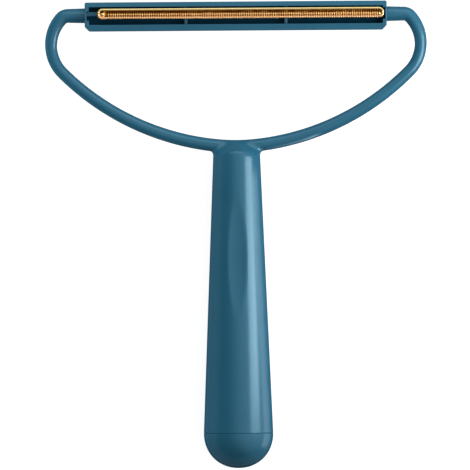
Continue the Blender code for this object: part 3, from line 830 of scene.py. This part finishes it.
def add_blade(face, turn, copper):
    """Formed copper sheet: a rounded lip all round, a valley and a low fluted ridge."""
    count = round((spine_end - spine_start) * FLUTE_STEPS / FLUTE_PITCH)
    outline = []
    for i in range(count + 1):
        x = spine_start + (spine_end - spine_start) * i / count
        outline.append((x, blade_bottom))
    for i in range(1, BLADE_END_STEPS):
        angle = math.pi * i / BLADE_END_STEPS
        outline.append((spine_end + blade_radius * math.sin(angle),
                        blade_axis - blade_radius * math.cos(angle)))
    middle = (spine_start + spine_end) / 2
    outline += [(2 * middle - x, 2 * blade_axis - y) for x, y in outline]
    contours = blade_contours()
    shape = bmesh.new()
    foot = [shape.verts.new((x, y, contours[0][1])) for x, y in outline]
    foot_edges = [shape.edges.new(pair) for pair in zip(foot, foot[1:] + foot[:1])]
    edges = foot_edges
    for inset, height in contours[1:]:
        edges = draw_contour(shape, edges, inset, height)
    draw_contour(shape, foot_edges, blade_radius, blade_back)
    for vertex in shape.verts:
        form_sheet(vertex)
    bmesh.ops.remove_doubles(shape, verts=shape.verts, dist=WELD_DISTANCE)
    bmesh.ops.recalc_face_normals(shape, faces=shape.faces)
    bmesh.ops.rotate(shape, verts=shape.verts, matrix=Matrix.Rotation(turn, 3, "Y"))
    finish_piece(f"fluted_edge_{face}", shape, copper, "tool", [f"blade_{face}"],
                 sharp=BLADE_SHARP_ANGLE)


# Materials

def new_material(name):
    """Material with its nodes, its links and its shader."""
    material = bpy.data.materials.new(name)
    material.use_nodes = True
    nodes = material.node_tree.nodes
    return material, nodes, material.node_tree.links, nodes["Principled BSDF"]


def add_noise(nodes, links, place, scale, detail):
    """Noise over the whole object, between 0 and 1."""
    noise = nodes.new("ShaderNodeTexNoise")
    noise.inputs["Scale"].default_value = scale
    noise.inputs["Detail"].default_value = detail
    links.new(place, noise.inputs["Vector"])
    return noise.outputs["Fac"]


def add_ramp(nodes, links, driver, stops):
    """Colour that follows a driver through stops of (position, colour)."""
    ramp = nodes.new("ShaderNodeValToRGB")
    points = ramp.color_ramp.elements
    while len(points) < len(stops):
        points.new(1.0)
    for point, (position, colour) in zip(points, stops):
        point.position = position
        point.color = colour
    links.new(driver, ramp.inputs["Fac"])
    return ramp.outputs["Color"]


def add_range(nodes, links, driver, start, end, low=0.0, high=1.0, curve="LINEAR"):
    """Value that runs from low to high while its driver runs from start to end."""
    level = nodes.new("ShaderNodeMapRange")
    level.interpolation_type = curve
    level.inputs["From Min"].default_value = start
    level.inputs["From Max"].default_value = end
    level.inputs["To Min"].default_value = low
    level.inputs["To Max"].default_value = high
    links.new(driver, level.inputs["Value"])
    return level.outputs["Result"]


def add_mix(nodes, links, share, first, second):
    """Colour between a first and a second one."""
    mix = nodes.new("ShaderNodeMix")
    mix.data_type = "RGBA"
    links.new(share, mix.inputs["Factor"])
    for name, source in (("A", first), ("B", second)):
        if isinstance(source, tuple):
            mix.inputs[name].default_value = source
        else:
            links.new(source, mix.inputs[name])
    return mix.outputs["Result"]


def add_math(nodes, links, operation, first, second=None):
    """Result of an operation on one or two values."""
    node = nodes.new("ShaderNodeMath")
    node.operation = operation
    links.new(first, node.inputs[0])
    if second is not None:
        links.new(second, node.inputs[1])
    return node.outputs["Value"]


def satin_teal():
    """Moulded plastic, a little cloudy, less glossy at a slant, with painted shade and a matt
    finish in the recess.
    """
    material, nodes, links, shader = new_material("satin_teal_plastic")
    place = nodes.new("ShaderNodeTexCoord").outputs["Object"]
    slant = nodes.new("ShaderNodeLayerWeight").outputs["Facing"]
    marked = nodes.new("ShaderNodeAttribute")
    marked.attribute_name = SHADE_AND_MATT_FACES
    shade_and_matt = marked.outputs["Fac"]
    cloud = add_noise(nodes, links, place, CLOUD_SCALE, CLOUD_DETAIL)
    colour = add_ramp(nodes, links, cloud, CLOUD_TONES)
    # Painted shade: the marked recess floor takes a near-black teal in place of the plastic's
    # colour
    colour = add_mix(nodes, links, shade_and_matt, colour, RECESS_PAINTED_SHADE)
    roughness = add_range(nodes, links, shade_and_matt, 0.0, 1.0, PLASTIC_ROUGHNESS, MATT_ROUGHNESS)
    stops = [(position, (level, level, level, 1.0)) for position, level in GLOSS_BY_SLANT]
    gloss = add_ramp(nodes, links, slant, stops)
    open_share = add_range(nodes, links, shade_and_matt, 0.0, 1.0, 1.0, MATT_GLOSS)
    gloss = add_math(nodes, links, "MULTIPLY", gloss, open_share)
    bump = nodes.new("ShaderNodeBump")
    bump.inputs["Strength"].default_value = GRAIN_STRENGTH
    bump.inputs["Distance"].default_value = GRAIN_HEIGHT
    grain = add_noise(nodes, links, place, GRAIN_SCALE, GRAIN_DETAIL)
    links.new(grain, bump.inputs["Height"])
    links.new(colour, shader.inputs["Base Color"])
    links.new(roughness, shader.inputs["Roughness"])
    links.new(gloss, shader.inputs["Specular IOR Level"])
    links.new(bump.outputs["Normal"], shader.inputs["Normal"])
    shader.inputs["Specular Tint"].default_value = GLOSS_TINT
    return material


def polished_copper():
    """Copper sheet with painted light, yellow along the top lip and peach along the lower, and
    brown painted shade where deep.
    """
    material, nodes, links, shader = new_material("polished_copper")
    place = nodes.new("ShaderNodeTexCoord").outputs["Object"]
    parts = nodes.new("ShaderNodeSeparateXYZ")
    links.new(place, parts.inputs["Vector"])
    # Painted light: the copper grows lighter and yellower from the lower lip up to the top lip
    low, high = (tool @ Vector((0, level, 0)) for level in (blade_bottom, blade_top))
    rise = add_range(nodes, links, parts.outputs["Y"], low.y, high.y)
    painted_light_lips = add_ramp(nodes, links, rise, COPPER_PAINTED_LIGHTER_ON_TOP)
    from_middle = nodes.new("ShaderNodeVectorMath")
    from_middle.operation = "SUBTRACT"
    from_middle.inputs[1].default_value = tool.translation
    height = nodes.new("ShaderNodeVectorMath")
    height.operation = "DOT_PRODUCT"
    height.inputs[1].default_value = facing
    links.new(place, from_middle.inputs[0])
    links.new(from_middle.outputs["Vector"], height.inputs[0])
    # Painted shade: the copper turns brown the deeper it lies below the lips, in the valley and the
    # flute bottoms
    either_face = add_math(nodes, links, "ABSOLUTE", height.outputs["Value"])
    out_of_painted_shade = add_range(nodes, links, either_face, lip_face - FULL_SHADE_DEPTH,
                       lip_face - SHADE_FREE_DEPTH)
    colour = add_mix(nodes, links, out_of_painted_shade, PAINTED_SHADE_COPPER, painted_light_lips)
    streak = add_noise(nodes, links, place, STREAK_SCALE, STREAK_DETAIL)
    wear = add_range(nodes, links, streak, 0.0, 1.0, LEAST_ROUGHNESS, MOST_ROUGHNESS)
    links.new(colour, shader.inputs["Base Color"])
    links.new(wear, shader.inputs["Roughness"])
    shader.inputs["Metallic"].default_value = 1.0
    return material


# Floor, studio and lamps

def add_rays(nodes, links, kinds):
    """1 for rays of the named kinds, and 0 for all others."""
    path = nodes.new("ShaderNodeLightPath")
    seen = path.outputs[kinds[0]]
    for kind in kinds[1:]:
        seen = add_math(nodes, links, "MAXIMUM", seen, path.outputs[kind])
    return seen


def add_floor():
    """Wide white floor that keeps a faint shadow."""
    shape = bmesh.new()
    bmesh.ops.create_grid(shape, x_segments=1, y_segments=1, size=FLOOR_HALF_SIDE)
    mesh = bpy.data.meshes.new("floor")
    shape.to_mesh(mesh)
    shape.free()
    floor = bpy.data.objects.new("floor", mesh)
    bpy.context.scene.collection.objects.link(floor)
    material, nodes, links, shader = new_material("floor_paper")
    shader.inputs["Base Color"].default_value = FLOOR_GREY
    shader.inputs["Roughness"].default_value = 1.0
    shader.inputs["Specular IOR Level"].default_value = 0.0
    shader.inputs["Emission Color"].default_value = WHITE
    seen = add_rays(nodes, links, ("Is Camera Ray", "Is Glossy Ray", "Is Transmission Ray"))
    lift = add_range(nodes, links, seen, 0.0, 1.0, 0.0, FLOOR_LIFT)
    links.new(lift, shader.inputs["Emission Strength"])
    mesh.materials.append(material)


def add_world():
    """Studio that lights the tool from its upper right, and itself looks white."""
    world = bpy.data.worlds.new("studio")
    world.use_nodes = True
    bpy.context.scene.world = world
    nodes, links = world.node_tree.nodes, world.node_tree.links
    towards = nodes.new("ShaderNodeVectorMath")
    towards.operation = "DOT_PRODUCT"
    towards.inputs[1].default_value = BRIGHT_SIDE.normalized()
    outward = nodes.new("ShaderNodeTexCoord").outputs["Generated"]
    links.new(outward, towards.inputs[0])
    level = add_range(nodes, links, towards.outputs["Value"], DIM_FROM, BRIGHT_FROM,
                      DIM_LEVEL, BRIGHT_LEVEL, "SMOOTHSTEP")
    seen = add_rays(nodes, links, ("Is Camera Ray", "Is Transmission Ray"))
    strength = add_math(nodes, links, "MAXIMUM", level, seen)
    links.new(strength, nodes["Background"].inputs["Strength"])
    nodes["Background"].inputs["Color"].default_value = WHITE


def add_lamp(name, place, aim, size, power, left_out):
    """Rectangular lamp that faces a point, both in the tool's frame."""
    data = bpy.data.lights.new(name, "AREA")
    data.shape = "RECTANGLE"
    data.size, data.size_y = size
    data.energy = power
    lamp = bpy.data.objects.new(name, data)
    bpy.context.scene.collection.objects.link(lamp)
    place, aim = tool @ Vector(place), tool @ Vector(aim)
    lamp.rotation_euler = (aim - place).to_track_quat("-Z", "Y").to_euler()
    lamp.location = place
    lamp.visible_camera = "view" not in left_out
    lamp.visible_diffuse = "colour" not in left_out
    lamp.visible_glossy = "gloss" not in left_out


add_camera()
teal = satin_teal()
copper = polished_copper()
add_handle_frame(teal)
add_end_cap(teal)
add_head(teal)
for face, turn in (("front", 0.0), ("back", math.pi)):
    add_seat_bar(face, turn, teal)
    add_blade(face, turn, copper)
add_floor()
add_world()
for lamp in LAMPS:
    add_lamp(*lamp)
